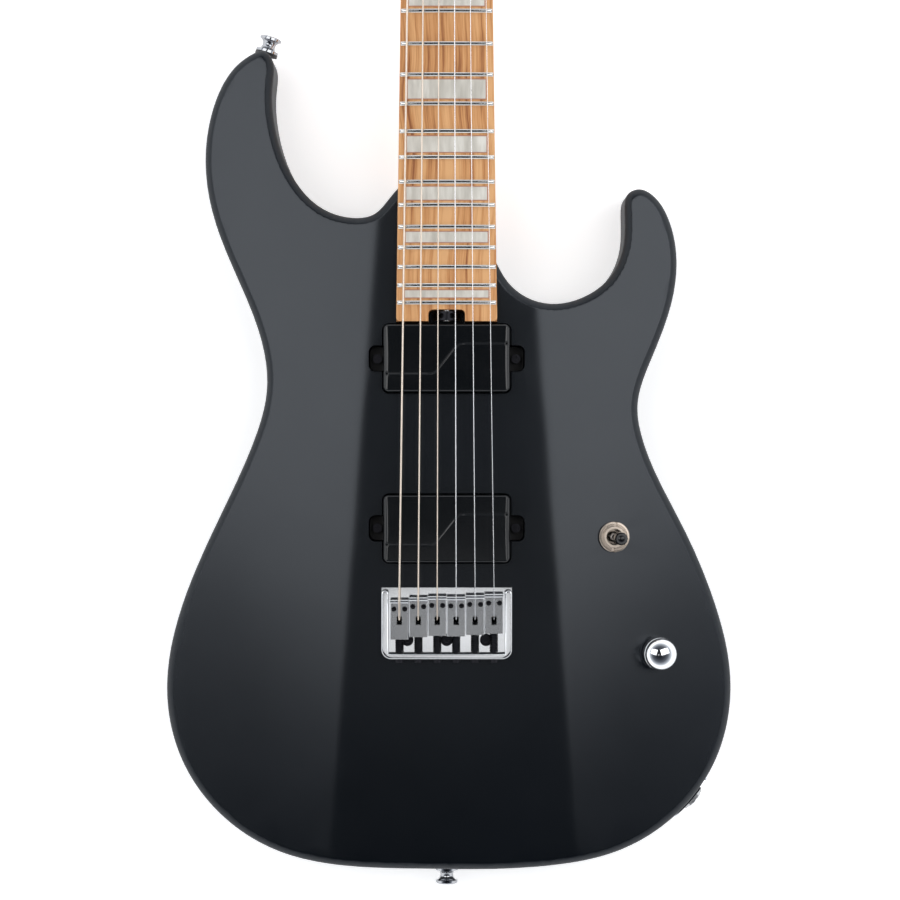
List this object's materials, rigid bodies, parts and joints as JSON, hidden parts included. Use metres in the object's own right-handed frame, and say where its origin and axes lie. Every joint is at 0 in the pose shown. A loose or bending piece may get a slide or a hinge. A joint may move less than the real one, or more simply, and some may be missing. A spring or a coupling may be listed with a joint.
{
  "type": "electric guitar",
  "caption": "Double-cutaway solid-body electric guitar with bolt-on neck, hardtail string-through bridge, humbucking pickups, toggle and push-pull volume.",
  "frame": {"origin": "the body's flat back plane, on the centre line, below the saddles' scale line", "axes": "+Y up the neck to the headstock, +X to the treble side, +Z out of the playing face"},
  "size_m": [0.3169, 1.0007, 0.0611],
  "materials": {
    "satin_black_body": "satin lacquer over wood",
    "roasted_maple_neck": "satin",
    "roasted_maple_board": "satin",
    "fret_wire": "polished",
    "pearl_inlay": "pearly",
    "nut_plastic": "satin",
    "rod_steel": "plain",
    "wheel_steel": "blackened",
    "chrome_ferrule": "polished",
    "chrome_screw": "polished",
    "chrome_bridge": "polished",
    "dark_screw": "blackened",
    "intonation_steel": "bright",
    "spring_steel": "plain",
    "string_steel": "bright",
    "pickup_black": "gloss",
    "pickup_core": "matte",
    "switch_metal": "plated",
    "lever_chrome": "polished",
    "tip_black": "gloss",
    "chrome_nut": "polished",
    "pot_metal": "plated",
    "slider_plastic": "moulded",
    "shaft_brass": "turned",
    "chrome_knob": "polished",
    "jack_metal": "plated",
    "chrome_jack_plate": "polished",
    "chrome_strap": "polished",
    "black_felt": "felt",
    "cover_black": "matte",
    "box_black": "moulded",
    "battery_case": "plain",
    "wire_plastic": "insulated",
    "chrome_tuner": "polished",
    "chrome_tree": "polished",
    "saddle_chrome": "polished",
    "post_chrome": "polished",
    "key_chrome": "polished"
  },
  "bodies": {
    "root": {"body": "satin_black_body", "neck": "roasted_maple_neck", "fretboard": "roasted_maple_board", "frets": "fret_wire", "inlays": "pearl_inlay", "nut": "nut_plastic", "truss_rod": "rod_steel", "neck_ferrules": "chrome_ferrule", "neck_screws": "chrome_screw", "bridge_plate": "chrome_bridge", "bridge_screws": "dark_screw", "intonation_screws": "intonation_steel", "intonation_springs": "spring_steel", "string_ferrules": "chrome_ferrule", "strings": "string_steel", "pickup_screws": "dark_screw", "switch_body": "switch_metal", "panel_nuts": "chrome_nut", "pot_case": "pot_metal", "output_jack": "jack_metal", "jack_plate": "chrome_jack_plate", "cover_screws": "dark_screw", "strap_buttons": "chrome_strap", "strap_felts": "black_felt", "control_cover": "cover_black", "battery_box": "box_black", "battery": "battery_case", "wiring": "wire_plastic", "tuner_housings": "chrome_tuner", "tuner_bushings": "chrome_tuner", "string_tree": "chrome_tree"},
    "truss_wheel": {"truss_wheel": "wheel_steel"},
    "neck_pickup": {"neck_pickup_cover": "pickup_black", "neck_pickup_core": "pickup_core"},
    "bridge_pickup": {"bridge_pickup_cover": "pickup_black", "bridge_pickup_core": "pickup_core"},
    "switch_lever": {"switch_lever": "lever_chrome", "switch_tip": "tip_black"},
    "volume_pull": {"pull_slider": "slider_plastic"},
    "volume_turn": {"volume_knob": "chrome_knob", "volume_shaft": "shaft_brass"},
    "battery_lid": {"battery_lid": "box_black"},
    "saddle_1": {"saddle_1": "saddle_chrome"},
    "post_1": {"tuner_post_1": "post_chrome"},
    "key_1": {"tuner_key_1": "key_chrome"},
    "saddle_2": {"saddle_2": "saddle_chrome"},
    "post_2": {"tuner_post_2": "post_chrome"},
    "key_2": {"tuner_key_2": "key_chrome"},
    "saddle_3": {"saddle_3": "saddle_chrome"},
    "post_3": {"tuner_post_3": "post_chrome"},
    "key_3": {"tuner_key_3": "key_chrome"},
    "saddle_4": {"saddle_4": "saddle_chrome"},
    "post_4": {"tuner_post_4": "post_chrome"},
    "key_4": {"tuner_key_4": "key_chrome"},
    "saddle_5": {"saddle_5": "saddle_chrome"},
    "post_5": {"tuner_post_5": "post_chrome"},
    "key_5": {"tuner_key_5": "key_chrome"},
    "saddle_6": {"saddle_6": "saddle_chrome"},
    "post_6": {"tuner_post_6": "post_chrome"},
    "key_6": {"tuner_key_6": "key_chrome"}
  },
  "joints": [
    {"name": "tuner_key_1_turn", "type": "hinge", "parent": "root", "child": "key_1", "pos_m": [-0.01566, 0.68522, 0.0265], "axis": [-0.9692, 0.2464, 0], "continuous": true},
    {"name": "tuner_post_1_turn", "type": "hinge", "parent": "root", "child": "post_1", "pos_m": [-0.01707, 0.6797, 0.04], "axis": [0, 0, 1], "continuous": true},
    {"name": "tuner_key_2_turn", "type": "hinge", "parent": "root", "child": "key_2", "pos_m": [-0.00863, 0.71072, 0.0265], "axis": [-0.9692, 0.2464, 0], "continuous": true},
    {"name": "tuner_post_2_turn", "type": "hinge", "parent": "root", "child": "post_2", "pos_m": [-0.01003, 0.7052, 0.04], "axis": [0, 0, 1], "continuous": true},
    {"name": "tuner_key_3_turn", "type": "hinge", "parent": "root", "child": "key_3", "pos_m": [-0.00187, 0.73622, 0.0265], "axis": [-0.9692, 0.2464, 0], "continuous": true},
    {"name": "tuner_post_3_turn", "type": "hinge", "parent": "root", "child": "post_3", "pos_m": [-0.00328, 0.7307, 0.04], "axis": [0, 0, 1], "continuous": true},
    {"name": "tuner_key_4_turn", "type": "hinge", "parent": "root", "child": "key_4", "pos_m": [0.00461, 0.76172, 0.0265], "axis": [-0.9692, 0.2464, 0], "continuous": true},
    {"name": "tuner_post_4_turn", "type": "hinge", "parent": "root", "child": "post_4", "pos_m": [0.00321, 0.7562, 0.04], "axis": [0, 0, 1], "continuous": true},
    {"name": "tuner_key_5_turn", "type": "hinge", "parent": "root", "child": "key_5", "pos_m": [0.01082, 0.78722, 0.0265], "axis": [-0.9692, 0.2464, 0], "continuous": true},
    {"name": "tuner_post_5_turn", "type": "hinge", "parent": "root", "child": "post_5", "pos_m": [0.00941, 0.7817, 0.04], "axis": [0, 0, 1], "continuous": true},
    {"name": "tuner_key_6_turn", "type": "hinge", "parent": "root", "child": "key_6", "pos_m": [0.01675, 0.81272, 0.0265], "axis": [-0.9692, 0.2464, 0], "continuous": true},
    {"name": "tuner_post_6_turn", "type": "hinge", "parent": "root", "child": "post_6", "pos_m": [0.01534, 0.8072, 0.04], "axis": [0, 0, 1], "continuous": true},
    {"name": "saddle_1_intonation", "type": "slide", "parent": "root", "child": "saddle_1", "axis": [0, 1, 0], "range_m": [-0.002, 0.002], "deforming": ["intonation_springs", "strings"]},
    {"name": "saddle_2_intonation", "type": "slide", "parent": "root", "child": "saddle_2", "axis": [0, 1, 0], "range_m": [-0.002, 0.002], "deforming": ["intonation_springs", "strings"]},
    {"name": "saddle_3_intonation", "type": "slide", "parent": "root", "child": "saddle_3", "axis": [0, 1, 0], "range_m": [-0.002, 0.002], "deforming": ["intonation_springs", "strings"]},
    {"name": "saddle_4_intonation", "type": "slide", "parent": "root", "child": "saddle_4", "axis": [0, 1, 0], "range_m": [-0.002, 0.002], "deforming": ["intonation_springs", "strings"]},
    {"name": "saddle_5_intonation", "type": "slide", "parent": "root", "child": "saddle_5", "axis": [0, 1, 0], "range_m": [-0.002, 0.002], "deforming": ["intonation_springs", "strings"]},
    {"name": "saddle_6_intonation", "type": "slide", "parent": "root", "child": "saddle_6", "axis": [0, 1, 0], "range_m": [-0.002, 0.002], "deforming": ["intonation_springs", "strings"]},
    {"name": "truss_wheel_turn", "type": "hinge", "parent": "root", "child": "truss_wheel", "pos_m": [0, 0.15482, 0.043], "axis": [0, 1, 0], "range_deg": [-180, 180]},
    {"name": "neck_pickup_height", "type": "slide", "parent": "root", "child": "neck_pickup", "axis": [0, 0, 1], "range_m": [-0.002, 0.002]},
    {"name": "bridge_pickup_height", "type": "slide", "parent": "root", "child": "bridge_pickup", "axis": [0, 0, 1], "range_m": [-0.002, 0.002]},
    {"name": "switch_throw", "type": "hinge", "parent": "root", "child": "switch_lever", "pos_m": [0.09334, 0.0316, 0.03979], "axis": [-0.2756, -0.9612, 0.0148], "range_deg": [0, 15]},
    {"name": "volume_lift", "type": "slide", "parent": "root", "child": "volume_pull", "axis": [0.0824, 0, 0.9966], "range_m": [0, 0.005]},
    {"name": "volume_rotation", "type": "hinge", "parent": "volume_pull", "child": "volume_turn", "pos_m": [0.118, -0.0333, 0.04111], "axis": [0.0824, 0, 0.9966], "range_deg": [0, 300]},
    {"name": "battery_lid_swing", "type": "hinge", "parent": "root", "child": "battery_lid", "pos_m": [0.045, -0.0826, 0.00105], "axis": [1, 0, 0], "range_deg": [0, 100]}
  ],
  "couplings": [
    {"joint": "tuner_post_1_turn", "follows": "tuner_key_1_turn", "ratio": 0.055556},
    {"joint": "tuner_post_2_turn", "follows": "tuner_key_2_turn", "ratio": 0.055556},
    {"joint": "tuner_post_3_turn", "follows": "tuner_key_3_turn", "ratio": 0.055556},
    {"joint": "tuner_post_4_turn", "follows": "tuner_key_4_turn", "ratio": 0.055556},
    {"joint": "tuner_post_5_turn", "follows": "tuner_key_5_turn", "ratio": 0.055556},
    {"joint": "tuner_post_6_turn", "follows": "tuner_key_6_turn", "ratio": 0.055556}
  ]
}
